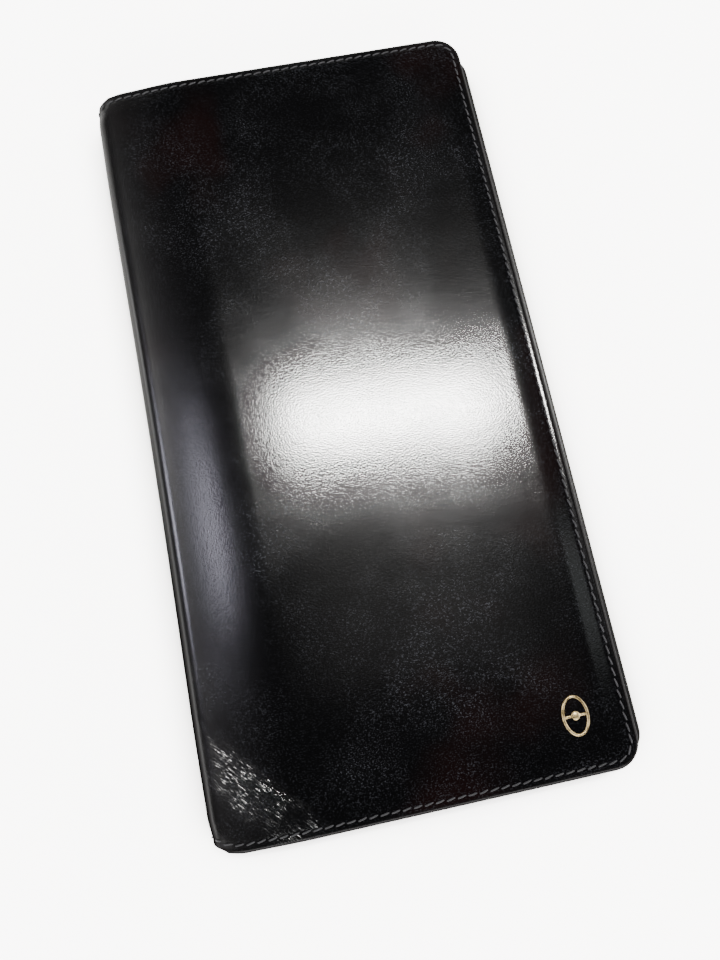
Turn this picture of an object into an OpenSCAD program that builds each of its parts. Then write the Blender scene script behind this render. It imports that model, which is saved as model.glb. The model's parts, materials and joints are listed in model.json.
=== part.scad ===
// Long bifold wallet in smooth calf leather, closed, lying on its back cover.
// X runs from the spine to the free edge, Y runs along the spine, Z is up.
// The origin is on the resting face, in the middle of the wallet's outline.

/* [Cover] */
// Length along the spine
length = 177; // [165:1:190]
// Closed width, from the spine to the back cover's free edge
width = 94.5; // [88:0.5:98]
// How far the front cover's free edge stops short of the back cover's
front_setback = 3.5; // [1:0.5:5]
// Radius of the two corners at the free edge
corner_r = 6; // [4:0.5:9]
// Outer radius of the two folds along the spine
fold_r = 3.8; // [3.2:0.2:4.4]

/* [Leather] */
// Thickness of the outer leather
skin_t = 0.9; // [0.8:0.1:1.2]
// Thickness of the padding, which is how far the cover crowns over its border
pad_t = 0.8; // [0.5:0.1:1]
// Thickness of the stiffener board
board_t = 0.6; // [0.4:0.1:1]
// Width of the flat sewn border
border_w = 3.2; // [2.8:0.2:5]
// Width of the leather turned in round the board
hem_w = 8; // [6:0.5:12]

/* [Pockets] */
// Distance from the spine to the mouth of the full-length compartment
mouth_setback = 8; // [7:0.5:12]
// Number of rows of card pockets
card_rows = 4; // [2:1:4]
// Step from one card pocket's mouth to the next
row_pitch = 10; // [8:0.5:11]
// Depth of a card pocket, from its mouth to its bottom seam
card_depth = 46; // [42:1:50]
// Distance from the first compartment's mouth to the ticket pocket's mouth
ticket_step = 14; // [8:1:24]

/* [Thread] */
// Length of one stitch pitch
stitch_pitch = 2.3; // [1.8:0.1:4]
// Thread diameter
thread_d = 0.4; // [0.3:0.05:0.5]
// Distance of the seam from the edge
seam_inset = 1.9; // [1.6:0.1:2.4]

/* [Emblem] */
// Width of the oval emblem
emblem_w = 5.8; // [4:0.2:8]
// Height of the oval emblem
emblem_l = 8.4; // [6:0.2:12]
// Distance of its centre from the front cover's free edge
emblem_from_free_edge = 12.2; // [9:0.2:20]
// Distance of its centre from the wallet's lower end
emblem_from_end = 12.6; // [9:0.2:20]

/* [Hidden] */
$fn = 48;
card_row_names = [for (row = [1:card_rows]) str("card_pocket_row_", row)];
card_backing_names = [for (row = [1:card_rows - 1]) str("card_pocket_backing_", row)];

// Thin sheets and the slits between them
hem_t = 0.5;
lining_t = 0.3;
slit = 0.2;
backing_t = 0.15;
panel_t = 0.6;
strip_t = 0.4;
sheet_gap = 0.02;
// Gap between the two closed halves
halves_gap = 0.6;
// How far the folded ends of the spine are pared down, so the seam lies below the crown
pared = 0.5;
// Run of the slope from the border up to the crown
crown_slope = 1.4;
// Small clearance round a piece that sits inside another
fit_gap = 0.05;
// Inset of the inner pieces from the covers' edges
inner_inset = 0.8;
// How far a card pocket's leather strip reaches under the next one
strip_overlap = 3;
seam_allowance = 2;
// Half the angle left open between two pieces of folded leather
fold_gap_angle = 0.8;

// Depths below a cover's outer face, one layer after another
border_z = pad_t;
board_z = skin_t + pad_t;
hem_z = board_z + board_t;
lining_z = hem_z + hem_t;
backing_z = lining_z + lining_t + slit;
panel_z = backing_z + backing_t;
inner_z = panel_z + panel_t;
ticket_z = inner_z + slit;
row_step_z = backing_t + strip_t;
back_depth = ticket_z + panel_t;
front_depth = inner_z + card_rows * row_step_z;
closed_t = back_depth + halves_gap + front_depth;

spine_x = -width / 2;
fold_x = spine_x + fold_r;
back_free_x = width / 2;
front_free_x = back_free_x - front_setback;
mouth_x = spine_x + mouth_setback;
first_row_x = mouth_x + 5;
emblem_x = front_free_x - emblem_from_free_edge;
emblem_y = -length / 2 + emblem_from_end;
emblem_sunk = 0.55;
emblem_proud = 0.15;
plate_t = 0.3;
prong_d = 0.8;
prong_spread = 2.6;

// Everything on the front half is drawn as if lying face down, then turned over
module front_side() translate([0, 0, closed_t]) mirror([0, 0, 1]) children();

// A rectangle from x0 to x1 with its two corners rounded at x1 only
module sheet_outline(x0, x1, span, r) {
    translate([x0, -span / 2]) square([x1 - r - x0, span]);
    translate([x0, -span / 2 + r]) square([x1 - x0, span - 2 * r]);
    for (end = [-1, 1]) translate([x1 - r, end * (span / 2 - r)]) circle(r);
}

// A flat sheet between two depths, set in from the free edge and from both ends
module sheet(x0, free_x, inset, z, t)
    translate([0, 0, z]) linear_extrude(t)
        sheet_outline(x0, free_x - inset, length - 2 * inset, corner_r - inset / 2);

// The slope from the border up to the crown, shrunk inwards by inset
module crown(x0, free_x, inset, z0, z1) hull() {
    sheet(x0, free_x, border_w + inset, z1, fit_gap);
    sheet(x0, free_x, border_w + crown_slope + inset, z0, fit_gap);
}

// One half of the folded corner: a ring sector from the cover to the middle of the fold
module fold_sector(outer_r, inner_r, from_angle, to_angle) intersection() {
    difference() {
        circle(outer_r);
        circle(inner_r);
    }
    polygon([[0, 0],
             2 * fold_r * [-sin(from_angle), -cos(from_angle)],
             2 * fold_r * [-sin((from_angle + to_angle) / 2), -cos((from_angle + to_angle) / 2)],
             2 * fold_r * [-sin(to_angle), -cos(to_angle)]]);
}

// Turns a drawing of the wallet's end view (x, height) into a body along the spine
module along_spine(y0, y1)
    translate([0, y1, 0]) rotate([90, 0, 0]) linear_extrude(y1 - y0) children();

// The cover's half of the fold, full in the middle and pared at the two sewn ends
module cover_fold() {
    mid = length / 2 - border_w;
    inner_r = fold_r - skin_t;
    end_angle = 45 - fold_gap_angle;
    for (band = [[-mid, mid, fold_r], [-length / 2, -mid, fold_r - pared], [mid, length / 2, fold_r - pared]])
        along_spine(band[0], band[1]) translate([fold_x, fold_r]) fold_sector(band[2], inner_r, 0, end_angle);
}

module cover_leather(free_x) {
    difference() {
        union() {
            sheet(fold_x, free_x, 0, border_z, lining_z - border_z);
            crown(fold_x, free_x, 0, 0, border_z);
        }
        crown(fold_x - 1, free_x, skin_t, skin_t, board_z - fit_gap);
        sheet(fold_x - 1, free_x, skin_t, board_z - fit_gap, board_t + fit_gap);
        sheet(fold_x - 1, free_x, hem_w, hem_z - fit_gap, hem_t + 2 * fit_gap);
    }
    cover_fold();
}

module cover_padding(free_x)
    crown(fold_x + 1, free_x, skin_t + fit_gap, skin_t + fit_gap, board_z - 2 * fit_gap);

module cover_board(free_x)
    sheet(fold_x + 1, free_x, skin_t + fit_gap, board_z, board_t - fit_gap);

module lining(free_x) sheet(fold_x, free_x, inner_inset, lining_z + sheet_gap, lining_t - sheet_gap);

// Runs its child along the sewn border of one cover, one call for every stitch
module along_seam(free_x) {
    y_run = length - 2 * corner_r;
    x_run = free_x - corner_r - fold_x;
    r = corner_r - seam_inset;
    long_count = floor(y_run / stitch_pitch);
    short_count = floor(x_run / stitch_pitch);
    corner_count = floor(r * PI / 2 / stitch_pitch);
    for (i = [0:long_count - 1])
        translate([free_x - seam_inset, (i + 0.5 - long_count / 2) * y_run / long_count])
            rotate(90) children();
    for (end = [-1, 1]) {
        for (i = [0:short_count - 1])
            translate([fold_x + (i + 0.5) * x_run / short_count, end * (length / 2 - seam_inset)])
                children();
        for (i = [0:corner_count - 1])
            translate([free_x - corner_r, end * (length / 2 - corner_r)])
                rotate(end * (i + 0.5) * 90 / corner_count)
                    translate([r, 0]) rotate(90) children();
    }
}

// One visible stitch, a short length of thread lying on the leather
module stitch() {
    stitch_l = stitch_pitch * 0.72;
    translate([-stitch_l / 2, 0, 0]) rotate([0, 90, 0]) cylinder(h = stitch_l, d = thread_d, $fn = 16);
}

module seam_thread(free_x)
    translate([0, 0, border_z - thread_d / 2 - sheet_gap]) along_seam(free_x) stitch();

// The stitches that carry the border seam over the folded ends of the spine
module spine_seam_thread() color("dimgray") {
    wall_stitches = 3;
    x = spine_x + pared - thread_d / 2 - sheet_gap;
    for (end = [-1, 1], i = [0:wall_stitches - 1])
        translate([x, end * (length / 2 - seam_inset), closed_t / 2 + (i - 1) * stitch_pitch])
            rotate([0, 90, 0]) stitch();
}

module back_cover_leather() color("#15151a") cover_leather(back_free_x);
module back_cover_padding() color("#b9b4a6") cover_padding(back_free_x);
module back_cover_board() color("#8d7a5e") cover_board(back_free_x);
module back_lining() color("#2b2a2e") lining(back_free_x);
module bill_pocket_backing() color("#2b2a2e")
    sheet(mouth_x + 1, back_free_x, inner_inset, backing_z, backing_t - sheet_gap);
module bill_pocket_panel() color("#1c1c20") sheet(mouth_x, back_free_x, inner_inset, panel_z, panel_t);
module ticket_pocket_panel() color("#1c1c20")
    sheet(mouth_x + ticket_step, back_free_x, inner_inset, ticket_z, panel_t);
module back_seam_thread() color("dimgray") seam_thread(back_free_x);

module spine_leather() color("#15151a") {
    mid = length / 2 - border_w;
    inner_r = fold_r - skin_t;
    start_angle = 45 + fold_gap_angle;
    for (band = [[-mid, mid, 0], [-length / 2, -mid, pared], [mid, length / 2, pared]])
        along_spine(band[0], band[1]) {
            translate([fold_x, fold_r]) fold_sector(fold_r - band[2], inner_r, start_angle, 90);
            translate([fold_x, closed_t - fold_r]) mirror([0, 1])
                fold_sector(fold_r - band[2], inner_r, start_angle, 90);
            translate([spine_x + band[2], fold_r])
                square([skin_t - band[2], closed_t - 2 * fold_r]);
        }
}

// A flat strip standing inside the spine
module spine_strip(x, t, height) translate([x, -length / 2 + inner_inset, (closed_t - height) / 2])
    cube([t, length - 2 * inner_inset, height]);

module spine_tape() color("#8d7a5e")
    spine_strip(spine_x + skin_t + sheet_gap, board_t / 2, closed_t - 2 * fold_r);
module spine_lining() color("#2b2a2e")
    spine_strip(spine_x + skin_t + board_t / 2 + 2 * sheet_gap, lining_t, closed_t - 2 * fold_r + 1);

module oval(w, l) polygon([for (a = [0:10:350]) [w / 2 * cos(a), l / 2 * sin(a)]]);

module at_prongs() for (end = [-1, 1])
    translate([emblem_x, emblem_y + end * prong_spread, 0]) children();

module front_cover_leather() color("#15151a") front_side() difference() {
    cover_leather(front_free_x);
    translate([emblem_x, emblem_y, -1]) linear_extrude(1 + emblem_sunk)
        oval(emblem_w + 2 * fit_gap, emblem_l + 2 * fit_gap);
    at_prongs() cylinder(h = skin_t + 1, d = prong_d + 2 * fit_gap);
}
module front_cover_padding() color("#b9b4a6") front_side() difference() {
    cover_padding(front_free_x);
    translate([emblem_x, emblem_y, 0]) linear_extrude(board_z) oval(emblem_w, emblem_l);
}
module front_cover_board() color("#8d7a5e") front_side() cover_board(front_free_x);
module front_lining() color("#2b2a2e") front_side() lining(front_free_x);
module slip_pocket_backing() color("#2b2a2e") front_side()
    sheet(mouth_x + 1, front_free_x, inner_inset, backing_z, backing_t - sheet_gap);
module slip_pocket_panel() color("#1c1c20") front_side()
    sheet(mouth_x, front_free_x, inner_inset, panel_z, panel_t);

function row_x(row) = first_row_x + (row - 1) * row_pitch;
function row_z(row) = inner_z + (row - 1) * row_step_z;

// The leather of one card pocket: a strip at the mouth, or the whole leaf on the last row
module card_pocket_row(row) color("#1c1c20") front_side() {
    z = row_z(row) + backing_t;
    t = strip_t - sheet_gap;
    if (row == card_rows)
        sheet(row_x(row), front_free_x, inner_inset, z, t);
    else
        translate([row_x(row), -length / 2 + inner_inset, z])
            cube([row_pitch + strip_overlap, length - 2 * inner_inset, t]);
}

// The thin fabric that carries a card pocket down to its bottom seam
module card_pocket_backing(row) color("#2b2a2e") front_side()
    translate([row_x(row) + seam_allowance, -length / 2 + inner_inset, row_z(row)])
        cube([card_depth, length - 2 * inner_inset, backing_t - sheet_gap]);

// The seam down the middle of the card pockets, which makes two columns of them
module card_column_thread() color("dimgray") front_side()
    for (row = [1:card_rows]) {
        run = row == card_rows ? front_free_x - inner_inset - row_x(row) : row_pitch;
        count = floor(run / stitch_pitch);
        z = row_z(row) + row_step_z + thread_d / 2;
        for (i = [0:count - 1]) translate([row_x(row) + (i + 0.5) * run / count, 0, z]) stitch();
    }

module front_seam_thread() color("dimgray") front_side() seam_thread(front_free_x);

module oval_emblem() color("#b8a878") front_side() {
    ring_w = 0.85;
    bar_t = 0.7;
    bead_d = 1.7;
    translate([emblem_x, emblem_y, -emblem_proud]) {
        linear_extrude(emblem_sunk + emblem_proud) difference() {
            oval(emblem_w, emblem_l);
            oval(emblem_w - 2 * ring_w, emblem_l - 2 * ring_w);
        }
        translate([0, 0, emblem_proud]) {
            linear_extrude(emblem_sunk) oval(emblem_w - ring_w, emblem_l - ring_w);
            translate([-emblem_w / 2 + ring_w / 2, -bar_t / 2, -emblem_proud])
                cube([emblem_w - ring_w, bar_t, emblem_sunk]);
            translate([0, 0, -emblem_proud]) cylinder(h = emblem_sunk, d = bead_d);
        }
    }
    at_prongs() cylinder(h = skin_t + plate_t, d = prong_d);
}

module emblem_backing_plate() color("#a8a49a") front_side() difference() {
    translate([emblem_x, emblem_y, skin_t + fit_gap / 2]) linear_extrude(plate_t)
        oval(emblem_w - 4 * fit_gap, emblem_l - 4 * fit_gap);
    at_prongs() cylinder(h = board_z, d = prong_d + fit_gap);
}

back_cover_leather();
back_cover_padding();
back_cover_board();
back_lining();
bill_pocket_backing();
bill_pocket_panel();
ticket_pocket_panel();
back_seam_thread();
spine_leather();
spine_tape();
spine_lining();
spine_seam_thread();
front_cover_leather();
front_cover_padding();
front_cover_board();
front_lining();
slip_pocket_backing();
slip_pocket_panel();
for (row = [1:card_rows])
    card_pocket_row(row);
for (row = [1:card_rows - 1])
    card_pocket_backing(row);
card_column_thread();
front_seam_thread();
oval_emblem();
emblem_backing_plate();
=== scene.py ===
"""A long bifold wallet in glossy smooth calf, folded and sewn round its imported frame.

Each half of the wallet is drawn flat, as it would be cut: s runs over the leather from the middle
of the spine to the free edge, y runs along the spine, and depth goes inwards from the outer face.
Half.fold() then bends that drawing round the spine. All sizes are in metres.
"""
import json
import math

import bpy
import numpy as np
from mathutils import Matrix, Vector

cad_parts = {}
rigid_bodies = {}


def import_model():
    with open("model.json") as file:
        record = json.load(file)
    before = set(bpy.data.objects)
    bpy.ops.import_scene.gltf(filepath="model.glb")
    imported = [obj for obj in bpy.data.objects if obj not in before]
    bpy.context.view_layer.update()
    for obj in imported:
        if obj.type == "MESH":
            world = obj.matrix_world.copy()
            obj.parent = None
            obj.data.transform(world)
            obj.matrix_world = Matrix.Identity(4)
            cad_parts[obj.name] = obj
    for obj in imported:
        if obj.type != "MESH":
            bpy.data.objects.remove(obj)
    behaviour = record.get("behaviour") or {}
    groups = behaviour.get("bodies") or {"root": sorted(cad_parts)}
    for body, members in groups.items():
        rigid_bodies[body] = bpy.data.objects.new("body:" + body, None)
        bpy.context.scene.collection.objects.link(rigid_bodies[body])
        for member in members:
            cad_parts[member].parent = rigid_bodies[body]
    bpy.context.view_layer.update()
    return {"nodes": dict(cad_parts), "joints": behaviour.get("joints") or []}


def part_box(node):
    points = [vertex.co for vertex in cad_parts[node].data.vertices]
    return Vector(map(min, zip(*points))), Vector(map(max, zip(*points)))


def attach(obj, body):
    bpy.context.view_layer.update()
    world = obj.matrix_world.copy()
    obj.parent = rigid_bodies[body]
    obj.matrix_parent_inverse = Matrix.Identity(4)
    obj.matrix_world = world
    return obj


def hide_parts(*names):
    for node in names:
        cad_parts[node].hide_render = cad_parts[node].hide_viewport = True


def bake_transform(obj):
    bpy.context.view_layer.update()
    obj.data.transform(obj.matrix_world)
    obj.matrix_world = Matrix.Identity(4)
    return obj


for leftover in list(bpy.data.objects):
    bpy.data.objects.remove(leftover)
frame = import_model()

MM = 0.001

# ---------------------------------------------------------------- sizes read from the frame
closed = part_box("front_cover_leather")[1].z
half_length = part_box("back_cover_leather")[1].y
spine_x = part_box("spine_leather")[0].x
fold_r = frame["joints"][0]["pos_m"][2] / (1 - math.sqrt(0.5))
fold_x = spine_x + fold_r
board_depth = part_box("back_cover_board")[0].z

# ---------------------------------------------------------------- sizes of the leather work
skin_t = 0.9 * MM
pad_t = board_depth - skin_t
corner_r = 6 * MM
edge_round = 1.0 * MM
hem_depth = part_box("back_lining")[0].z
seam_inset = 1.9 * MM
stitch_pitch = 2.3 * MM
thread_d = 0.37 * MM
roll_depth = 1.2 * MM
roll_run = 18 * MM
bow_reach = 25 * MM
lining_at_spine = (1.90 * MM, 2.20 * MM)
hem_at_spine = 1.85 * MM
hem_back_at_spine = 1.45 * MM
hem_t = 0.5 * MM
board_from_fold = 2.95 * MM
crown_edge = 0.3 * MM
crease_deep, crease_wide = 0.04 * MM, 0.5 * MM


def smooth(value, start, end):
    """0 before start, 1 after end, and an even S between them."""
    t = np.clip((value - start) / (end - start), 0, 1)
    return t * t * (3 - 2 * t)


def bell(value, centre, width):
    return np.exp(-(((value - centre) / width) ** 2))


class Half:
    """One cover with its half of the spine, drawn flat and folded."""

    def __init__(self, name, free_edge, turned):
        self.name, self.free_edge, self.turned = name, free_edge, turned
        self.wall = closed / 2 - fold_r
        self.fold_end = self.wall + fold_r * math.pi / 2
        self.reach = self.fold_end + free_edge - fold_x
        self.cover = name + "_cover"

    def along(self, x):
        """How far over the leather a place on the flat of the cover is."""
        return self.fold_end + x - fold_x

    def layer(self, node):
        """The near and far depth of a CAD sheet below this half's outer face."""
        low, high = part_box(node)
        return (closed - high.z, closed - low.z) if self.turned else (low.z, high.z)

    def from_edge(self, s, y):
        """Distance inwards from the outline, which has round corners at the free edge."""
        in_s, in_y = self.reach - s, half_length - np.abs(y)
        corner = corner_r - np.hypot(np.maximum(corner_r - in_s, 0), np.maximum(corner_r - in_y, 0))
        return np.where(np.minimum(in_s, in_y) < corner_r, corner, np.minimum(in_s, in_y))

    def roll(self, s):
        """How far the cover falls away as it rolls over into the spine."""
        rise = smooth(s, self.wall * 0.3, self.fold_end)
        return roll_depth * rise * (1 - smooth(s, self.fold_end, self.fold_end + roll_run))

    def inner(self, s, at_spine, on_cover):
        """The depth of a layer that is thinner at the spine than on the cover."""
        rise = smooth(s, self.fold_end - 0.5 * MM, self.fold_end + 4 * MM)
        return at_spine + (on_cover - at_spine) * rise + self.roll(s)

    def near_spine(self, s, run):
        return 1 - smooth(s, self.wall, self.fold_end + run)

    def fold(self, s, y, depth):
        """Points of the flat drawing, bent round the spine, in the wallet's own frame."""
        s, y, depth = np.broadcast_arrays(np.asarray(s, float), y, depth)
        turn = np.clip((s - self.wall) / fold_r, 0, math.pi / 2)
        x = fold_x - fold_r * np.cos(turn) + np.maximum(s - self.fold_end, 0) + depth * np.cos(turn)
        z = np.maximum(self.wall - s, 0) + fold_r * (1 - np.sin(turn)) + depth * np.sin(turn)
        x = x + spine_bow(y) * self.near_spine(s, bow_reach)
        pinch = 2.3 * MM * self.near_spine(s, 4 * MM) * smooth(np.abs(y), half_length - 16 * MM, half_length)
        y = y - np.sign(y) * pinch
        return np.stack([x, y, closed - z if self.turned else z], -1)


def spine_bow(y):
    """The used spine bows in a little at its middle."""
    return 0.4 * MM * np.cos(math.pi * y / (115 * MM))


back = Half("back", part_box("back_cover_leather")[1].x, False)
front = Half("front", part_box("front_cover_leather")[1].x, True)


# ---------------------------------------------------------------- surface of the leather
def crown(half, s, y):
    """The padded face stands above its border; this is the drop from the top of the crown."""
    edge = half.from_edge(s, y)
    border = (pad_t - crown_edge) * (1 - smooth(edge, 0.4 * MM, 7 * MM))
    return border + crown_edge * (1 - smooth(edge, 2 * MM, 30 * MM)) + half.roll(s)


def outer_face(half, s, y):
    """The leather's outer face: the crown, the groove the seam pulls in, and the creases."""
    groove = 0.07 * MM * bell(half.from_edge(s, y), seam_inset, 0.5 * MM)
    return crown(half, s, y) + groove + (creases(s, y) if half is front else 0)


crease_path = [(-45.6, -59.7), (-43.0, -65.4), (-39.0, -71.0), (-34.7, -75.3), (-30.3, -78.3), (-24.5, -82.6)]
crease_points = [np.array((front.along(x * MM), y * MM)) for x, y in crease_path]


def creases(s, y):
    """Depth of the long crease across the lower end of the spine, with a low ridge on each side."""
    s, y = np.broadcast_arrays(np.asarray(s, float), y)
    depth = np.zeros(s.shape)
    for start, end in zip(crease_points, crease_points[1:]):
        along = end - start
        t = ((s - start[0]) * along[0] + (y - start[1]) * along[1]) / (along @ along)
        nearest = start[:, None] + along[:, None] * np.clip(t, 0, 1).ravel()
        off = np.hypot(s - nearest[0].reshape(s.shape), y - nearest[1].reshape(s.shape))
        across = bell(off, 0, crease_wide) - 0.5 * bell(off, 2 * crease_wide, crease_wide)
        depth += crease_deep * smooth(t, -0.1, 0.25) * (1 - smooth(t, 0.75, 1.1)) * across
    return depth * smooth(s, 1 * MM, 4.5 * MM)


def creased_part(s, y):
    """How strongly the grain is broken up by folding: a wedge below the long crease."""
    start, span = crease_points[0], crease_points[-1] - crease_points[0]
    size = np.linalg.norm(span)
    t = ((s - start[0]) * span[0] + (y - start[1]) * span[1]) / size**2
    off = ((s - start[0]) * span[1] - (y - start[1]) * span[0]) / size
    wedge = smooth(off, -1.2 * MM, 2.5 * MM) * (1 - smooth(off, 8 * MM, 13 * MM))
    ends = smooth(t, -0.05, 0.4) * (1 - smooth(t, 1.0, 1.25))
    return wedge * ends * smooth(s, front.wall, front.fold_end + 2 * MM)


def scuffed_part(s, y):
    """Handling marks at the upper end of the spine."""
    return bell(s, front.along(-36 * MM), 5 * MM) * bell(y, 79.5 * MM, 4 * MM)


# ---------------------------------------------------------------- meshes
def marks(start, end, step, *fine):
    """Places from start to end, closer together inside each fine = (low, high, step)."""
    places = [start]
    while places[-1] < end:
        here = places[-1]
        steps = [step] + [s for low, high, s in fine if low - s <= here <= high]
        ahead = [low - here for low, high, s in fine if low > here + 1e-9]
        places.append(here + max(min(steps + ahead), 1e-5))
    places = np.array(places)
    return start + (places - start) * (end - start) / (places[-1] - start)


def shell(half, far, corner, s_marks, y_marks, rim, top, bottom):
    """A closed sheet of one half: a core between top and bottom, and rings that go round its rim.

    The outline is straight at the spine side, s_marks[0], and far is its free edge. rim lists
    (distance in from the outline, depth function) from the top, round the edge, to the bottom.
    Gives the flat points (s, y, depth) and the faces."""
    end_s, end_y, n_s, n_y = s_marks[-1], y_marks[-1], len(s_marks), len(y_marks)
    core = np.arange(n_s * n_y).reshape(n_s, n_y)
    fan = np.linspace(0, math.pi / 2, 9)[1:-1]
    core_ring = np.concatenate([core[:, 0], [core[-1, 0]] * len(fan), core[-1], [core[-1, -1]] * len(fan),
                                core[::-1, -1]])
    core_s, core_y = (a.ravel() for a in np.meshgrid(s_marks, y_marks, indexing="ij"))
    flat = [(core_s, core_y, top(core_s, core_y) + 0 * core_s)]
    rings, count = [core_ring], core.size
    for inset, depth in rim:
        out = corner - inset
        s = np.concatenate([s_marks, end_s + out * np.sin(fan), np.full(n_y, end_s + out),
                            end_s + out * np.cos(fan), s_marks[::-1]])
        y = np.concatenate([np.full(n_s, -end_y - out), -end_y - out * np.cos(fan), y_marks,
                            end_y + out * np.sin(fan), np.full(n_s, end_y + out)])
        flat.append((s, y, depth(s, y) + 0 * s))
        rings.append(np.arange(count, count + len(s)))
        count += len(s)
    flat.append((core_s, core_y, bottom(core_s, core_y) + 0 * core_s))
    rings.append(core_ring + count)
    below = core + count
    faces = np.stack([core[:-1, :-1], core[1:, :-1], core[1:, 1:], core[:-1, 1:]], -1).reshape(-1, 4).tolist()
    faces += np.stack([below[:-1, :-1], below[:-1, 1:], below[1:, 1:], below[1:, :-1]],
                      -1).reshape(-1, 4).tolist()
    for a, b in zip(rings, rings[1:]):
        for quad in np.stack([a[:-1], b[:-1], b[1:], a[1:]], -1).tolist():
            faces.append(list(dict.fromkeys(quad)))
    faces += np.stack([core[0, :-1], core[0, 1:], below[0, 1:], below[0, :-1]], -1).tolist()
    faces.append([int(ring[0]) for ring in rings[::-1]])
    faces.append([int(ring[-1]) for ring in rings])
    s, y, depth = (np.concatenate([part[i] for part in flat]) for i in range(3))
    return s, y, depth, faces if half.turned else [face[::-1] for face in faces]


def piece(name, points, faces, material, sharp=40, **painted):
    """A mesh object with one material, smooth shading, and painted numbers on its points."""
    mesh = bpy.data.meshes.new(name)
    mesh.from_pydata(np.asarray(points).tolist(), [], faces)
    mesh.materials.append(material)
    mesh.polygons.foreach_set("use_smooth", [True] * len(mesh.polygons))
    for attribute, values in painted.items():
        layer = mesh.attributes.new(attribute, "FLOAT", "POINT")
        layer.data.foreach_set("value", np.broadcast_to(values, len(points)).astype(np.float32))
    mesh.set_sharp_from_angle(angle=math.radians(sharp))
    made = bpy.data.objects.new(name, mesh)
    bpy.context.scene.collection.objects.link(made)
    return made


def bend(made, half):
    """A piece that crosses the fold has its placement baked into its points; nothing makes it turn with the
    fold.
    """
    if half.turned:
        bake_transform(made)
    else:
        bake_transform(made)
    return made


# ---------------------------------------------------------------- the outer skin
def half_skin(half):
    """A cover and its half of the spine, in one skin, with its edges turned in over the board."""
    end_s, end_y = half.reach - corner_r, half_length - corner_r
    coarse, fine = 0.95 * MM, 0.36 * MM
    s_fine, y_fine = [(0, half.fold_end, 0.5 * MM)], []
    if half is front:
        creased_s, creased_y = crease_points[-1][0] + 3.5 * MM, crease_points[0][1] + 2.7 * MM
        s_fine.append((0, creased_s, fine))
        y_fine.append((-end_y, creased_y, fine))
    s_marks = marks(0, end_s, coarse, *s_fine)
    y_marks = marks(-end_y, end_y, coarse, *y_fine)

    def face(s, y):
        return outer_face(half, s, y)

    def under(s, y):
        return crown(half, s, y) + skin_t

    def hem(s, y):
        return half.inner(s, hem_at_spine, hem_depth)

    def hem_back(s, y):
        return half.inner(s, hem_back_at_spine, hem_depth - hem_t)

    def round_edge(angle):
        """The edge runs round from the border's outer face to the hem's inner face."""
        def depth(s, y):
            outside, inside = crown(half, s, y), hem(s, y)
            return (outside + inside) / 2 - (inside - outside) / 2 * math.cos(angle)
        return edge_round * (1 - math.sin(angle)), depth

    rim = [(e * MM, face) for e in (5.3, 4.6, 3.9, 3.3, 2.8, 2.45, 2.15, 1.9, 1.65, 1.4, 1.15)]
    rim += [round_edge(math.radians(a)) for a in (12, 28, 46, 66, 90, 114, 134, 152, 168)]
    rim += [(e * MM, hem) for e in (1.3, 3.0, 5.2)] + [(5.3 * MM, hem_back), (1.05 * MM, hem_back)]
    rim += [(1.1 * MM, under), (3 * MM, under), (4.5 * MM, under)]
    s, y, depth, faces = shell(half, half.reach, corner_r, s_marks, y_marks, rim, face, under)
    edge = half.from_edge(s, y)
    corner_wear = half.near_spine(s, 6 * MM) * smooth(np.abs(y), half_length - 7 * MM, half_length - 1 * MM)
    spine_wear = 0.35 * half.near_spine(s, 16 * MM)
    # Painted shade: the spine's side gets the dark, unreflecting edge finish, more so towards its lower end.
    spine_painted_shade = 0.84 + 0.16 * smooth(-y, -30 * MM, 45 * MM)
    wear = np.maximum(0.4 * (1 - smooth(edge, 0.2 * MM, 1.3 * MM)), np.maximum(corner_wear, spine_wear))
    made = piece(half.name + "_outer_skin", half.fold(s, y, depth), faces, calf,
                 edge_wear=wear, creased=creased_part(s, y) if half is front else 0,
                 scuffed=scuffed_part(s, y) if half is front else 0,
                 edge_dye=np.maximum(0.92 * (1 - smooth(edge, 0.55 * MM, 1.25 * MM)),
                                     spine_painted_shade * (1 - smooth(s, 3.5 * MM, 8.0 * MM))))
    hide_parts(half.name + "_cover_leather", *(["spine_leather"] if half is back else []))
    return bend(made, half)


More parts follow.
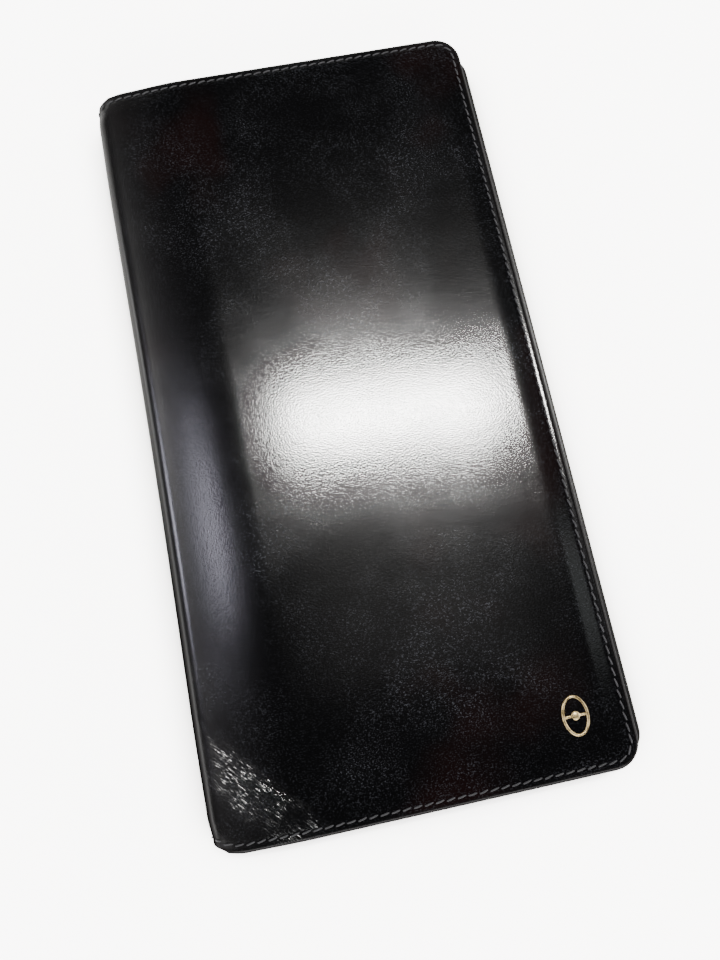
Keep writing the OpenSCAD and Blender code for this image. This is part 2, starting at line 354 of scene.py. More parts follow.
# ---------------------------------------------------------------- leaves inside
def leaf(name, node, half, material, start=None, end=None, at_spine=None, inset=0.8 * MM,
         pressed_line=False, step=1.3 * MM, crosses=False):
    """One flat layer: a pocket panel, a lining or a board, with rounded edges.

    It runs from start to end over the leather; without an end it goes to the free edge. A pressed
    line follows a pocket's mouth, and a layer that crosses the fold starts at the middle of the spine."""
    near, far = half.layer(node)
    thick = far - near
    low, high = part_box(node)
    start = half.along(low.x) if start is None else start
    free = end is None
    end = half.along(high.x) + inset if free else end + inset
    corner = corner_r if free else inset + 0.6 * MM
    end_s, end_y = end - corner, half_length - corner
    lead = [start + thick / 2 * (1 - math.sin(a)) for a in np.radians((80, 55, 30))]
    fine = [(start + 1.2 * MM, start + 2.4 * MM, 0.12 * MM)] if pressed_line else []
    if crosses:
        lead, fine = [0.0], [(0, half.fold_end + 5 * MM, 0.6 * MM)]
        start = 0.6 * MM
    s_marks = np.concatenate([lead, marks(start + (0 if crosses else thick / 2), end_s, step, *fine)])
    y_marks = marks(-end_y, end_y, step * 1.3)

    def middle(s):
        if at_spine:
            return half.inner(s, sum(at_spine) / 2, (near + far) / 2)
        return (near + far) / 2 + half.roll(s)

    def mouth(s):
        if crosses:
            return 1.0
        return np.sqrt(np.clip(1 - (1 - (s - start) / (thick / 2)).clip(0) ** 2, 0, 1))

    def outward(s, y):
        return middle(s) - thick / 2 * mouth(s)

    def inward(s, y):
        line = 0.09 * MM * bell(s, start + 1.8 * MM, 0.2 * MM) if pressed_line else 0
        edge = half_length - np.abs(y)
        if free:
            edge = np.minimum(edge, end - s)
        seam = 0.07 * MM * bell(edge, seam_inset, 0.4 * MM) if pressed_line else 0
        return middle(s) + thick / 2 * mouth(s) - line - seam

    def round_edge(angle):
        return (inset + thick / 2 * (1 - math.sin(angle)),
                lambda s, y: middle(s) - thick / 2 * mouth(s) * math.cos(angle))

    rim = [(inset + thick / 2, outward)] + [round_edge(math.radians(a)) for a in (30, 60, 90, 120, 150)]
    rim += [(inset + thick / 2, inward)]
    if free:
        rim = [(4 * MM, outward)] + rim + [(e * MM, inward) for e in (1.55, 1.9, 2.3, 3.6)]
    s, y, depth, faces = shell(half, end, corner, s_marks, y_marks, rim, outward, inward)
    edge = np.minimum(half_length - np.abs(y), end - s) - inset
    wear = 0.5 * (1 - smooth(np.minimum(edge, s - start), 0, 0.9 * MM))
    made = piece(name, half.fold(s, y, depth), faces, material, edge_wear=wear, creased=0)
    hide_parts(node)
    return bend(made, half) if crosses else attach(made, half.cover)


def padding(half):
    """The felt under a cover's leather, thickest in the middle and feathered at its edges."""
    node = half.name + "_cover_padding"
    near, far = half.layer(node)
    low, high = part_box(node)
    start = half.along(low.x)
    end_s, end_y = half.reach - corner_r, half_length - corner_r
    s_marks = marks(start, end_s, 1.6 * MM)
    y_marks = marks(-end_y, end_y, 2.2 * MM)

    def top(s, y):
        return crown(half, s, y) + near

    def under(s, y):
        return half.roll(s) + far

    edge = half_length - high.y
    rim = [(5 * MM, top), (edge + 0.1 * MM, top),
           (edge, lambda s, y: (top(s, y) + under(s, y)) / 2), (edge + 0.1 * MM, under), (5 * MM, under)]
    s, y, depth, faces = shell(half, half.reach, corner_r, s_marks, y_marks, rim, top, under)
    made = piece(half.name + "_cover_felt", half.fold(s, y, depth), faces, padding_felt)
    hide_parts(node)
    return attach(made, half.cover)


# ---------------------------------------------------------------- shader maths
class Value:
    """A socket that varies over a surface. Arithmetic on it adds Math nodes."""

    def __init__(self, finish, socket):
        self.finish, self.socket = finish, socket

    def _math(self, operation, first, second):
        return self.finish.node("ShaderNodeMath", {"operation": operation}, {0: first, 1: second})

    def __add__(self, other):
        return self._math("ADD", self, other)

    def __radd__(self, other):
        return self._math("ADD", other, self)

    def __sub__(self, other):
        return self._math("SUBTRACT", self, other)

    def __rsub__(self, other):
        return self._math("SUBTRACT", other, self)

    def __mul__(self, other):
        return self._math("MULTIPLY", self, other)

    def __rmul__(self, other):
        return self._math("MULTIPLY", other, self)


class Finish:
    """A material under construction: a Principled shader and the nodes that feed it."""

    def __init__(self, name, **settings):
        self.material = bpy.data.materials.new(name)
        self.material.use_nodes = True
        self.tree = self.material.node_tree
        self.shader = next(n for n in self.tree.nodes if n.type == "BSDF_PRINCIPLED")
        self.set(settings)

    def set(self, settings):
        """Sets or links the shader's own sockets."""
        for socket, value in settings.items():
            self._feed(self.shader.inputs[socket.replace("_", " ")], value)

    def _feed(self, socket, value):
        if isinstance(value, Value):
            self.tree.links.new(value.socket, socket)
        elif socket.type == "RGBA" and len(value) == 3:
            socket.default_value = (*value, 1)
        else:
            socket.default_value = value

    def matt(self, share, **settings):
        """A second, duller shader in place of the first where share is 1, such as edge dye, and painted shade
        on the spine.
        """
        dull = self.tree.nodes.new("ShaderNodeBsdfPrincipled")
        for socket, value in settings.items():
            self._feed(dull.inputs[socket.replace("_", " ")], value)
        both = self.node("ShaderNodeMixShader", None, {0: share, 1: Value(self, self.shader.outputs[0]),
                                                       2: Value(self, dull.outputs[0])})
        output = next(n for n in self.tree.nodes if n.type == "OUTPUT_MATERIAL")
        self.tree.links.new(both.socket, output.inputs["Surface"])

    def node(self, kind, settings=None, inputs=None, out=0):
        """Adds one node of any kind, with its settings, then its socket values or links."""
        made = self.tree.nodes.new(kind)
        for name, value in (settings or {}).items():
            setattr(made, name, value)
        for name, value in (inputs or {}).items():
            self._feed(made.inputs[name], value)
        return Value(self, made.outputs[out])

    def place(self, scale=(1, 1, 1)):
        """Object coordinates, stretched."""
        here = self.node("ShaderNodeTexCoord", out="Object")
        return self.node("ShaderNodeMapping", inputs={"Vector": here, "Scale": scale})

    def noise(self, where, scale, detail=2.0, rough=0.5):
        return self.node("ShaderNodeTexNoise", None,
                         {"Vector": where, "Scale": scale, "Detail": detail, "Roughness": rough})

    def cells(self, where, scale, smoothness=0.5):
        return self.node("ShaderNodeTexVoronoi", {"feature": "SMOOTH_F1"},
                         {"Vector": where, "Scale": scale, "Smoothness": smoothness}, "Distance")

    def mark(self, attribute):
        """A number painted on the piece's own points."""
        return self.node("ShaderNodeAttribute", {"attribute_name": attribute}, None, "Fac")

    def between(self, low, high, value):
        """Value carried from the span low..high to 0..1, with even ends."""
        return self.node("ShaderNodeMapRange", {"interpolation_type": "SMOOTHSTEP"},
                         {"Value": value, "From Min": low, "From Max": high})

    def mix(self, share, first, second):
        return self.node("ShaderNodeMix", {"data_type": "RGBA"}, {0: share, 6: first, 7: second}, 2)

    def bump(self, height, distance, strength=1.0, normal=None):
        inputs = {"Height": height, "Distance": distance, "Strength": strength}
        if normal is not None:
            inputs["Normal"] = normal
        return self.node("ShaderNodeBump", None, inputs)


def bent_place(finish, scale, wander, amount):
    """Object coordinates that wander a little, so that no grain runs in straight lines."""
    here = finish.place(scale)
    drift = finish.node("ShaderNodeTexNoise", None, {"Vector": here, "Scale": wander, "Detail": 1.0}, "Color")
    moved = finish.node("ShaderNodeVectorMath", {"operation": "SCALE"}, {0: drift, "Scale": amount})
    return finish.node("ShaderNodeVectorMath", {"operation": "ADD"}, {0: here, 1: moved})


def streaks(finish, turn, stretch, per_metre):
    """Short sharp lines that run one way, as folded leather shows."""
    here = finish.node("ShaderNodeTexCoord", out="Object")
    laid = finish.node("ShaderNodeMapping", {"vector_type": "TEXTURE"},
                       {"Vector": here, "Rotation": (0, 0, turn), "Scale": (stretch, 1, stretch)})
    line = finish.noise(laid, per_metre, 1.0, 0.5)
    return 1 - finish.node("ShaderNodeMath", {"operation": "ABSOLUTE"}, {0: (line - 0.5) * 7.0})


def glossy_calf():
    """Black boarded calf: fine grain, a hand-polished gloss, wear on edges and creases, and a painted speckle
    of grain glints in its colour.
    """
    f = Finish("glossy_black_calf", Specular_IOR_Level=0.5)
    grain = f.cells(bent_place(f, (0.78, 1.1, 1.0), 260, 0.0006), 2900, 0.5)
    pores = f.noise(f.place((0.75, 1.1, 1)), 4200, 2.0, 0.65)
    polish = f.noise(f.place(), 55, 3.0, 0.55)
    hand = f.noise(f.place((0.6, 1.3, 1)), 190, 2.0, 0.5)
    worn, creased, scuffed = f.mark("edge_wear"), f.mark("creased"), f.mark("scuffed")
    dull = f.between(0.35, 0.75, polish)
    (x_start, y_start), (x_end, y_end) = crease_path[0], crease_path[-1]
    folds = streaks(f, math.atan2(y_end - y_start, x_end - x_start), 5.0, 2500)
    scuffs = streaks(f, 0.62, 5.0, 1000)
    wavy = f.bump(hand, 0.000012, 0.6)
    skin = f.bump(grain * -0.6 + pores * 0.5, 0.0000135, 1.0, wavy)
    patchy = f.between(0.4, 0.6, f.noise(f.place(), 420, 2.0, 0.5))
    broken = f.bump(folds * creased * (0.75 + 0.5 * patchy) + scuffs * scuffed * 0.7, 0.000027, 1.0, skin)
    # Painted highlight: a pale speckle in the base colour stands in for the glints of the grain, stronger
    # where the polish is duller.
    painted_grain_glints = f.between(0.54, 0.70, f.noise(f.place((0.8, 1.1, 1)), 3300, 2.0, 0.65)) * (0.15 + 0.85 * dull)
    stained = f.between(0.55, 0.75, f.noise(f.place(), 38, 2.0, 0.5))
    black = f.mix(stained, (0.0005, 0.0005, 0.0006), (0.0018, 0.0006, 0.0006))
    colour = f.mix(worn * 0.7, f.mix(painted_grain_glints, black, (0.021, 0.022, 0.0255)), (0.006, 0.0052, 0.0052))
    f.set({"Base Color": colour,
           "Roughness": 0.12 + 0.025 * dull + 0.37 * worn + 0.05 * creased,
           "Normal": broken})
    # The dull dark shader is edge dye on the cut edges and painted shade on the spine.
    f.matt(f.mark("edge_dye"), Base_Color=(0.0012, 0.0009, 0.0009), Roughness=0.62 + 0.1 * pores, Normal=skin,
           Specular_IOR_Level=0.0)
    return f.material


def pocket_calf():
    """The thinner satin calf of the pockets, with a fine pressed grain."""
    f = Finish("satin_black_calf", Specular_IOR_Level=0.16)
    grain = f.cells(bent_place(f, (1, 0.85, 1), 300, 0.0008), 1900, 0.5)
    pores = f.noise(f.place(), 3000, 2.0, 0.6)
    rubbed = f.between(0.42, 0.7, f.noise(f.place(), 60, 3.0, 0.6))
    worn = f.mark("edge_wear")
    f.set({"Base Color": f.mix(worn * 0.7 + rubbed * 0.15, (0.0016, 0.0015, 0.0016), (0.009, 0.0082, 0.0080)),
           "Roughness": 0.33 + 0.04 * rubbed + 0.08 * worn,
           "Normal": f.bump(grain * -0.7 + pores * 0.4, 0.00003, 1.0)})
    return f.material


def lining_weave(name, dark, light):
    """A fine ribbed rayon lining, the ribs across the wallet."""
    f = Finish(name, Specular_IOR_Level=0.1, Sheen_Weight=0.02, Sheen_Roughness=0.4)
    here = f.place()
    ribs = f.node("ShaderNodeTexWave", {"bands_direction": "Y"},
                  {"Vector": here, "Scale": 520.0, "Distortion": 0.6, "Detail": 1.0, "Detail Scale": 3.0})
    warp = f.node("ShaderNodeTexWave", {"bands_direction": "X"},
                  {"Vector": here, "Scale": 900.0, "Distortion": 0.8, "Detail": 1.0, "Detail Scale": 2.0})
    slub = f.noise(f.place((0.2, 1, 1)), 700, 3.0, 0.6)
    height = ribs * 0.7 + warp * 0.25 + slub * 0.25
    f.set({"Base Color": f.mix(ribs * 0.6 + slub * 0.3, dark, light),
           "Roughness": 0.5 + 0.12 * slub,
           "Normal": f.bump(height, 0.00007, 0.9)})
    return f.material


def thread_finish():
    """Waxed dark thread with a slight sheen."""
    f = Finish("waxed_dark_thread", Specular_IOR_Level=0.08)
    fibres = f.noise(f.place((1, 1, 1)), 5200, 3.0, 0.65)
    rubbed = f.noise(f.place(), 240, 2.0, 0.5)
    f.set({"Base Color": f.mix(fibres * 0.6 + rubbed * 0.4, (0.006, 0.006, 0.0064), (0.036, 0.036, 0.038)),
           "Roughness": 0.5 + 0.2 * fibres,
           "Normal": f.bump(fibres, 0.00005, 0.8)})
    return f.material


def gilt():
    """Pale gilt, rubbed bright in some patches and dull with dirt in others."""
    f = Finish("pale_gilt", Metallic=1.0)
    patches = f.noise(f.place(), 900, 3.0, 0.6)
    specks = f.noise(f.place(), 3800, 2.0, 0.6)
    f.set({"Base Color": f.mix(f.between(0.35, 0.65, patches), (0.11, 0.08, 0.036), (0.34, 0.26, 0.135)),
           "Roughness": 0.24 + 0.22 * patches,
           "Normal": f.bump(specks, 0.00003, 0.6)})
    return f.material


def enamel_ground():
    """The dark ground inside the oval."""
    f = Finish("dark_emblem_ground", Specular_IOR_Level=0.5)
    specks = f.noise(f.place(), 2600, 3.0, 0.6)
    f.set({"Base Color": f.mix(specks, (0.004, 0.004, 0.005), (0.02, 0.018, 0.014)),
           "Roughness": 0.3 + 0.3 * specks,
           "Normal": f.bump(specks, 0.00003, 0.7)})
    return f.material


def felt():
    """Pale needled felt."""
    f = Finish("pale_felt", Sheen_Weight=0.2)
    fibres = f.noise(f.place(), 1600, 4.0, 0.7)
    f.set({"Base Color": f.mix(fibres, (0.42, 0.39, 0.33), (0.62, 0.58, 0.50)),
           "Roughness": 0.85 + 0.1 * fibres, "Normal": f.bump(fibres, 0.0001, 0.8)})
    return f.material


def fibre_board():
    """Brown bonded leather board, its fibres drawn out one way."""
    f = Finish("bonded_fibre_board")
    fibres = f.noise(f.place((1, 3, 1)), 900, 4.0, 0.65)
    f.set({"Base Color": f.mix(fibres, (0.20, 0.13, 0.075), (0.42, 0.31, 0.20)),
           "Roughness": 0.7 + 0.15 * fibres, "Normal": f.bump(fibres, 0.00008, 0.7)})
    return f.material


def plate_steel():
    """Thin brushed steel."""
    f = Finish("plain_steel", Metallic=1.0)
    brushed = f.noise(f.place((1, 12, 1)), 700, 2.0, 0.6)
    f.set({"Base Color": f.mix(brushed, (0.45, 0.45, 0.45), (0.62, 0.62, 0.61)),
           "Roughness": 0.32 + 0.15 * brushed, "Normal": f.bump(brushed, 0.00002, 0.5)})
    return f.material


def pale_floor():
    """A bright white table top that glows evenly, with a painted contact shadow: its glow turns darker where
    something stands close over it.
    """
    f = Finish("pale_table", Specular_IOR_Level=0.1, Emission_Strength=5.5)
    # Painted shadow: the glow colour fades to warm brown where ambient occlusion finds something close above.
    painted_shadow_openness = f.node("ShaderNodeAmbientOcclusion", {"samples": 8}, {"Distance": 0.010}, "AO")
    mottle = f.noise(f.place(), 6, 3.0, 0.5)
    f.set({"Base Color": f.mix(mottle, (0.86, 0.855, 0.84), (0.90, 0.895, 0.88)),
           "Roughness": 0.6 + 0.1 * mottle,
           "Emission Color": f.mix(f.between(0.5, 1.0, painted_shadow_openness), (0.03, 0.022, 0.016), (1.0, 0.985, 0.965))})
    return f.material


calf = glossy_calf()
satin = pocket_calf()
lining_cloth = lining_weave("ribbed_dark_lining", (0.003, 0.0028, 0.0032), (0.016, 0.015, 0.017))
backing_cloth = lining_weave("plain_dark_backing", (0.003, 0.003, 0.0033), (0.014, 0.0135, 0.0145))
thread = thread_finish()
gilt_metal = gilt()
ground = enamel_ground()
padding_felt = felt()
board_fibre = fibre_board()
steel = plate_steel()


# ---------------------------------------------------------------- build the wallet
for half in (back, front):
    half_skin(half)
for half in (back, front):
    padding(half)
    leaf(half.name + "_board", half.name + "_cover_board", half, board_fibre,
         start=half.along(fold_x + board_from_fold), inset=1.25 * MM, step=3 * MM)
    made = leaf(half.name + "_half_lining", half.name + "_lining", half, lining_cloth,
                at_spine=lining_at_spine, crosses=True)
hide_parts("spine_lining")


def pocket(name, node, half, end=None):
    """A leather pocket panel, with a line pressed along its mouth."""
    return leaf(name, node, half, satin, end=end, pressed_line=True)


def backing(name, node, half, end=None):
    """The thin cloth behind a pocket panel."""
    made = leaf(name, node, half, backing_cloth, end=end, step=2 * MM)
    return made


pocket("bill_pocket", "bill_pocket_panel", back)
pocket("ticket_pocket", "ticket_pocket_panel", back)
backing("bill_pocket_cloth", "bill_pocket_backing", back)
pocket("slip_pocket", "slip_pocket_panel", front)
backing("slip_pocket_cloth", "slip_pocket_backing", front)
for row in (1, 2, 3):
    for make, node, name in ((pocket, f"card_pocket_row_{row}", f"card_row_{row}"),
                             (backing, f"card_pocket_backing_{row}", f"card_row_{row}_cloth")):
        make(name, node, front, end=front.along(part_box(node)[1].x))
pocket("card_row_4", "card_pocket_row_4", front)


# ---------------------------------------------------------------- the tape inside the spine
def spine_strip():
    """The tape follows the spine's bow, just inside its leather."""
    low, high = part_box("spine_tape")
    y = marks(low.y + 2.5 * MM, high.y - 2.5 * MM, 3 * MM)
    bottom, top = low.z + 0.4 * MM, high.z - 0.4 * MM
    sections = []
    for x, z in ((low.x, bottom), (high.x, bottom), (high.x, top), (low.x, top)):
        sections.append(np.stack([x + 0.05 * MM + spine_bow(y), y, 0 * y + z], -1))
    points, n = np.concatenate(sections), len(y)
    faces = [[a * n + i, a * n + i + 1, b * n + i + 1, b * n + i] for a, b in ((0, 1), (1, 2), (2, 3), (3, 0))
             for i in range(n - 1)]
    return points, faces + [[0, n, 2 * n, 3 * n], [4 * n - 1, 3 * n - 1, 2 * n - 1, n - 1]]


tape = piece("spine_strip", *spine_strip(), board_fibre)
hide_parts("spine_tape")
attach(tape, "spine")


# ---------------------------------------------------------------- stitches
def rim_path(half, inset):
    """A path in the flat, round the three sewn sides, from one end of the spine to the other."""
    end_s, end_y, out = half.reach - corner_r, half_length - corner_r, corner_r - inset
    fan = np.linspace(0, math.pi / 2, 12)
    s_side, y_side = marks(0.6 * MM, end_s, 0.5 * MM), marks(-end_y, end_y, 0.5 * MM)
    s = np.concatenate([s_side, end_s + out * np.sin(fan), np.full(len(y_side), end_s + out),
                        end_s + out * np.cos(fan), s_side[::-1]])
    y = np.concatenate([np.full(len(s_side), -end_y - out), -end_y - out * np.cos(fan), y_side,
                        end_y + out * np.sin(fan), np.full(len(s_side), end_y + out)])
    return s, y


def stitch_points(half, path, depth, inward=False, skip=None):
    """Where each stitch of a row lies, and which way it runs and faces."""
    s, y = path
    d = depth(s, y)
    side = 0.05 * MM if inward else -0.05 * MM
    line, above = half.fold(s, y, d), half.fold(s, y, d + side)
    run = np.concatenate([[0], np.cumsum(np.linalg.norm(np.diff(line, axis=0), axis=1))])
    count = int(round(run[-1] / stitch_pitch))
    places = (np.arange(count) + 0.5) * run[-1] / count
    at = np.stack([np.interp(places, run, line[:, i]) for i in range(3)], -1)
    ahead = np.stack([np.interp(places + 0.4 * MM, run, line[:, i]) for i in range(3)], -1)
    behind = np.stack([np.interp(places - 0.4 * MM, run, line[:, i]) for i in range(3)], -1)
    facing = np.stack([np.interp(places, run, (above - line)[:, i]) for i in range(3)], -1)
    keep = np.ones(count, bool) if skip is None else ~skip(np.interp(places, run, s))
    return at[keep], (ahead - behind)[keep], facing[keep]


def stitch_tree():
    """Node tree: a short arched thread laid on every point, turned to its own direction."""
    tree = bpy.data.node_groups.new("stitch_row", "GeometryNodeTree")
    face = tree.interface
    face.new_socket("Points", in_out="INPUT", socket_type="NodeSocketGeometry")
    for name, kind, value in (("Length", "Float", 1.75 * MM), ("Arch", "Float", 0.42 * MM),
                              ("Thickness", "Float", thread_d), ("Slant", "Float", 0.2),
                              ("Unevenness", "Float", 0.07), ("Seed", "Int", 5)):
        face.new_socket(name, in_out="INPUT", socket_type="NodeSocket" + kind).default_value = value
    face.new_socket("Thread", in_out="INPUT", socket_type="NodeSocketMaterial")
    face.new_socket("Stitches", in_out="OUTPUT", socket_type="NodeSocketGeometry")
    given = tree.nodes.new("NodeGroupInput").outputs

    def add(kind, settings=None, **inputs):
        made = tree.nodes.new(kind)
        for name, value in (settings or {}).items():
            setattr(made, name, value)
        for name, value in inputs.items():
            socket = next(s for s in made.inputs if s.name == name.replace("_", " ") and s.enabled)
            if isinstance(value, bpy.types.NodeSocket):
                tree.links.new(value, socket)
            else:
                socket.default_value = value
        return made

    def out(made, name=None):
        return next(s for s in made.outputs if s.enabled and name in (None, s.name))

    def maths(operation, first, second):
        made = tree.nodes.new("ShaderNodeMath")
        made.operation = operation
        for socket, value in zip(made.inputs, (first, second)):
            if isinstance(value, bpy.types.NodeSocket):
                tree.links.new(value, socket)
            else:
                socket.default_value = value
        return made.outputs[0]

    half_long = maths("MULTIPLY", given["Length"], 0.5)
    start = out(add("ShaderNodeCombineXYZ", X=maths("MULTIPLY", half_long, -1.0)))
    end = out(add("ShaderNodeCombineXYZ", X=half_long))
    middle = out(add("ShaderNodeCombineXYZ", Z=given["Arch"]))
    arc = add("GeometryNodeCurveQuadraticBezier", Resolution=6, Start=start, Middle=middle, End=end)
    ring = add("GeometryNodeCurvePrimitiveCircle", Resolution=6,
               Radius=maths("MULTIPLY", given["Thickness"], 0.5))
    body = add("GeometryNodeCurveToMesh", Curve=out(arc), Profile_Curve=out(ring), Fill_Caps=True)
    smooth_body = add("GeometryNodeSetShadeSmooth", Geometry=out(body))
    vector = {"data_type": "FLOAT_VECTOR"}
    along = out(add("GeometryNodeInputNamedAttribute", vector, Name="along"), "Attribute")
    facing = out(add("GeometryNodeInputNamedAttribute", vector, Name="out"), "Attribute")
    turned = out(add("FunctionNodeAxesToRotation", {"primary_axis": "Z", "secondary_axis": "X"},
                     Primary_Axis=facing, Secondary_Axis=along))
    uneven = add("FunctionNodeRandomValue", {"data_type": "FLOAT"}, Seed=given["Seed"])
    for socket, sign in (("Min", -1.0), ("Max", 1.0)):
        ends = next(s for s in uneven.inputs if s.name == socket and s.enabled)
        tree.links.new(maths("MULTIPLY", given["Unevenness"], sign), ends)
    slant = out(add("ShaderNodeCombineXYZ", Z=maths("ADD", given["Slant"], out(uneven))))
    skew = tree.nodes.new("FunctionNodeRotateRotation")
    skew.rotation_space = "LOCAL"
    tree.links.new(turned, skew.inputs["Rotation"])
    tree.links.new(slant, skew.inputs["Rotate By"])
    laid = add("GeometryNodeInstanceOnPoints", Points=given["Points"], Instance=out(smooth_body),
               Rotation=out(skew))
    real = add("GeometryNodeRealizeInstances", Geometry=out(laid))
    done = add("GeometryNodeSetMaterial", Geometry=out(real), Material=given["Thread"])
    tree.links.new(out(done), tree.nodes.new("NodeGroupOutput").inputs["Stitches"])
    return tree


stitches = stitch_tree()


def sew(name, row, **inputs):
    """Lays a stitch at each place of a row of (points, directions, facings), and gives one mesh."""
    at, along, facing = row
    mesh = bpy.data.meshes.new(name)
    mesh.from_pydata(at.tolist(), [], [])
    for attribute, values in (("along", along), ("out", facing)):
        layer = mesh.attributes.new(attribute, "FLOAT_VECTOR", "POINT")
        layer.data.foreach_set("vector", values.astype(np.float32).ravel())
    points = bpy.data.objects.new(name + "_points", mesh)
    bpy.context.scene.collection.objects.link(points)
    layer = points.modifiers.new("stitches", "NODES")
    layer.node_group = stitches
    for socket, value in {"Thread": thread, **inputs}.items():
        layer[stitches.interface.items_tree[socket].identifier] = value
    bpy.context.view_layer.update()
    sewn = bpy.data.meshes.new_from_object(points.evaluated_get(bpy.context.evaluated_depsgraph_get()))
    sewn.name = name
    bpy.data.objects.remove(points)
    made = bpy.data.objects.new(name, sewn)
    bpy.context.scene.collection.objects.link(made)
    return made


def inner_face(half, leaves):
    """Depth of the innermost layer along the seam, from the mouths of the leaves."""
    def depth(s, y):
        found = half.inner(s, lining_at_spine[1], half.layer(half.name + "_lining")[1])
        for node in leaves:
            low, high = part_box(node)
            inside = (s > half.along(low.x)) & ((s < half.along(high.x)) | (high.x > half.free_edge - 2 * MM))
            found = np.where(inside, np.maximum(found, half.layer(node)[1] + half.roll(s)), found)
        return found
    return depth


def sew_cover(half, leaves):
    """The seam round one cover: a row of stitches on its outer face and one on its inner face."""
    path, inside = rim_path(half, seam_inset), inner_face(half, leaves)
    outer = stitch_points(half, path, lambda s, y: outer_face(half, s, y) + 0.10 * MM)
    inner = stitch_points(half, path, lambda s, y: inside(s, y) - 0.12 * MM, inward=True,
                          skip=lambda s: s < half.fold_end)
    outer_row = sew(half.name + "_cover_stitches", outer)
    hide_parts(half.name + "_seam_thread", *(["spine_seam_thread"] if half is back else []))
    bend(outer_row, half)
    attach(sew(half.name + "_inner_stitches", inner, Arch=inner_arch), half.cover)


inner_arch = 0.30 * MM
front_leaves = ["slip_pocket_panel"] + [f"card_pocket_row_{i}" for i in (1, 2, 3, 4)]
sew_cover(back, ["bill_pocket_panel", "ticket_pocket_panel"])
sew_cover(front, front_leaves)
column_low, column_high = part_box("card_column_thread")
column_s = marks(front.along(column_low.x), front.along(column_high.x), 0.5 * MM)
card_face = inner_face(front, front_leaves)
column = stitch_points(front, (column_s, 0 * column_s), lambda s, y: card_face(s, y) - 0.1 * MM, inward=True)
column_row = sew("card_column_stitches", column, Arch=inner_arch)
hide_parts("card_column_thread")
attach(column_row, "front_cover")


# ---------------------------------------------------------------- the emblem
def emblem_place(across, along, height):
    """Points near the emblem: across and along from its centre, and height above the leather."""
    s, y = front.along(emblem_centre.x + across), emblem_centre.y + along
    return front.fold(s, y, crown(front, s, y) + 0.06 * MM - height)


def loft(sections):
    """Joins closed rings of points, each the same length, each ring to the next."""
    count, faces = len(sections[0]), []
    for ring in range(len(sections) - 1):
        for i in range(count):
            j = (i + 1) % count
            faces.append([ring * count + i, ring * count + j, (ring + 1) * count + j, (ring + 1) * count + i])
    return np.concatenate(sections), faces


def oval_ring(wide, tall, bar, rise, sink):
    """A rounded oval rim: its section runs from the outer foot, over the top, to the inner foot."""
    around = np.linspace(0, 2 * math.pi, 72, endpoint=False)

    def ring(off, up):
        across, along = wide - bar / 2 + off, tall - bar / 2 + off
        return emblem_place(across * np.cos(around), along * np.sin(around), up)

    turns = np.radians((0, 25, 50, 75, 105, 130, 155, 180))
    sections = [ring(bar / 2 * math.cos(turn), rise * math.sin(turn)) for turn in turns]
    foot = [ring(side * bar / 2, -sink) for side in (-1, 1)]
    return loft(sections + foot + sections[:1])


def dome(wide, tall, foot, rise, rings=7, count=48):
    """A low dome over an oval, from its foot to its top."""
    around = np.linspace(0, 2 * math.pi, count, endpoint=False)
    sections = []
    for turn in np.linspace(0, math.pi / 2, rings)[:-1]:
        reach = math.cos(turn)
        sections.append(emblem_place(wide * reach * np.cos(around), tall * reach * np.sin(around),
                                     foot + rise * math.sin(turn)))
    points, faces = loft(sections)
    points = np.concatenate([points, emblem_place(np.zeros(1), np.zeros(1), foot + rise)])
    last = (rings - 2) * count
    faces += [[last + i, last + (i + 1) % count, len(points) - 1] for i in range(count)]
    return points, faces + [list(range(count))[::-1]]


def crossbar(length, width, foot, rise):
    """A rounded bar across the oval's middle, with narrow ends."""
    sections = []
    turns = np.linspace(0, 2 * math.pi, 12, endpoint=False)
    for share in (-1, -0.9, -0.5, 0, 0.5, 0.9, 1):
        narrow = 0.35 if abs(share) == 1 else 1.0
        sections.append(emblem_place(share * length + 0 * turns, width * narrow * np.cos(turns),
                                     foot + rise * narrow * np.sin(turns)))
    points, faces = loft(sections)
    return points, faces + [list(range(12))[::-1], list(range(len(points) - 12, len(points)))]


low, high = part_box("oval_emblem")
emblem_centre, emblem_half = (low + high) / 2, (high - low) / 2
parts = [oval_ring(emblem_half.x, emblem_half.y, 0.62 * MM, 0.28 * MM, 0.3 * MM),
         crossbar(emblem_half.x - 0.4 * MM, 0.3 * MM, 0.0, 0.2 * MM),
         dome(0.95 * MM, 0.95 * MM, -0.02 * MM, 0.36 * MM)]
faces, first = [], 0
for part_points, part_faces in parts:
    faces += [[first + i for i in face] for face in part_faces]
    first += len(part_points)
gilt_oval = piece("gilt_oval", np.concatenate([part[0] for part in parts]), faces, gilt_metal, sharp=50)
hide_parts("oval_emblem")
oval_ground = piece("emblem_ground", *dome(emblem_half.x - 0.45 * MM, emblem_half.y - 0.45 * MM, -0.3 * MM,
                                           0.22 * MM, count=64), ground)
for made in (gilt_oval, oval_ground):
    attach(made, "front_cover")

plate_finish = frame["nodes"]["emblem_backing_plate"].data.materials
plate_finish.clear()
plate_finish.append(steel)


# ---------------------------------------------------------------- table, light and camera
def flat_panel(name, wide, tall, at, target, strength, colour=(1, 1, 1), along=(1, 0, 0)):
    """A soft rectangular light that faces its target; its width runs along the given way."""
    light = bpy.data.lights.new(name, "AREA")
    light.shape, light.size, light.size_y = "RECTANGLE", wide, tall
    light.energy, light.color = strength * wide * tall * math.pi, colour
    made = bpy.data.objects.new(name, light)
    away = (Vector(at) - Vector(target)).normalized()
    up = away.cross(Vector(along)).normalized()
    made.matrix_world = Matrix.Translation(at) @ Matrix((up.cross(away), up, away)).transposed().to_4x4()
    bpy.context.scene.collection.objects.link(made)
    return made


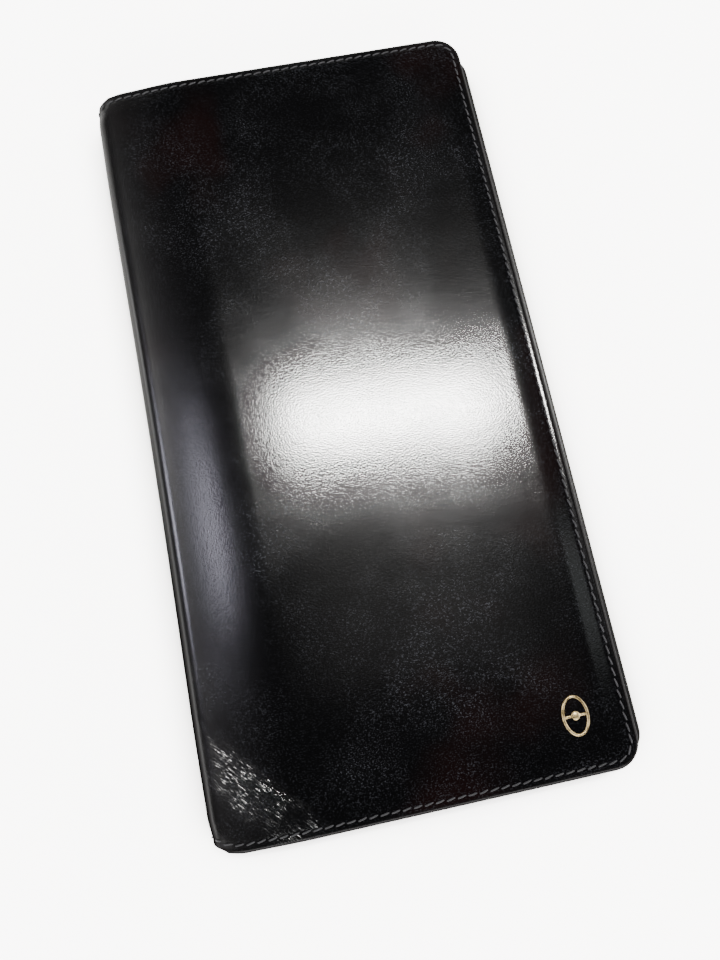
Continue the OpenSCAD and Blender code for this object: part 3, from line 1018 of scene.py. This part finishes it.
def table_top(size, thick, edge):
    """A pale table, one slab with a round edge."""
    count = 96
    turns = np.linspace(0, 2 * math.pi, count, endpoint=False)
    outline = np.stack([np.cos(turns), np.sin(turns)], -1)
    sections = [np.column_stack([outline * (size - edge * (1 - k)), np.full(count, z)])
                for k, z in ((0, 0), (0.7, -0.3 * edge), (1, -edge), (1, edge - thick), (0, -thick))]
    points, faces = loft(sections)
    faces = [face[::-1] for face in faces]
    return points, faces + [list(range(count)), list(range(4 * count, 5 * count))[::-1]]


def pale_walls(world):
    """A room with pale walls and a dark ceiling, so that only the panels show in the gloss."""
    tree = world.node_tree
    where = tree.nodes.new("ShaderNodeTexCoord")
    split = tree.nodes.new("ShaderNodeSeparateXYZ")
    fade = tree.nodes.new("ShaderNodeMapRange")
    fade.interpolation_type = "SMOOTHSTEP"
    for socket, value in {"From Min": 0.16, "From Max": 0.5, "To Min": 3.6, "To Max": 0.03}.items():
        fade.inputs[socket].default_value = value
    tree.links.new(where.outputs["Generated"], split.inputs[0])
    tree.links.new(split.outputs["Z"], fade.inputs["Value"])
    background = tree.nodes["Background"]
    background.inputs["Color"].default_value = (1.0, 0.99, 0.97, 1)
    tree.links.new(fade.outputs["Result"], background.inputs["Strength"])


piece("pale_table_top", *table_top(2.2, 0.03, 0.006), pale_floor())

world = bpy.data.worlds.new("dim_room")
world.use_nodes = True
pale_walls(world)
bpy.context.scene.world = world

centre = (0.01, -0.005, 0.011)
across = (1, -0.07, 0)
flat_panel("window_panel", 0.375, 0.060, (0.152, 0.262, 1.0), centre, 350, (1.0, 0.985, 0.96), across)
flat_panel("side_glow", 0.18, 0.22, (0.62, -0.08, 1.0), centre, 0.9, (0.94, 1.0, 0.98))
flat_panel("ceiling_glow", 0.42, 0.80, (0.16, 0.20, 1.06), centre, 0.25, (1.0, 0.96, 0.92), across)
flat_panel("sky_glow", 0.10, 0.28, (-0.51, 0.17, 1.0), centre, 50, (0.86, 0.84, 1.0))
flat_panel("left_strip", 1.6, 0.5, (-1.3, 0.0, 0.40), centre, 9, along=(0, 1, 0))
flat_panel("right_strip", 1.6, 0.4, (1.3, 0.0, 0.34), centre, 13, along=(0, 1, 0))
flat_panel("near_strip", 1.8, 0.5, (0.0, -1.4, 0.62), centre, 17)

view_from = Vector((-12.28, -46.47, 166.85)) * MM
view_along = Vector((0.06239, 0.17877, -0.98191))
view_up = Vector((0.19299, 0.9631, 0.18761))
lens = bpy.data.cameras.new("phone_camera")
lens.lens, lens.sensor_width, lens.sensor_fit = 27.04, 36, "AUTO"
lens.clip_start = 0.01
camera = bpy.data.objects.new("phone_camera", lens)
right = view_along.cross(view_up).normalized()
up = right.cross(view_along).normalized()
camera.matrix_world = Matrix.Translation(view_from) @ Matrix((right, up, -view_along)).transposed().to_4x4()
bpy.context.scene.collection.objects.link(camera)
bpy.context.scene.camera = camera
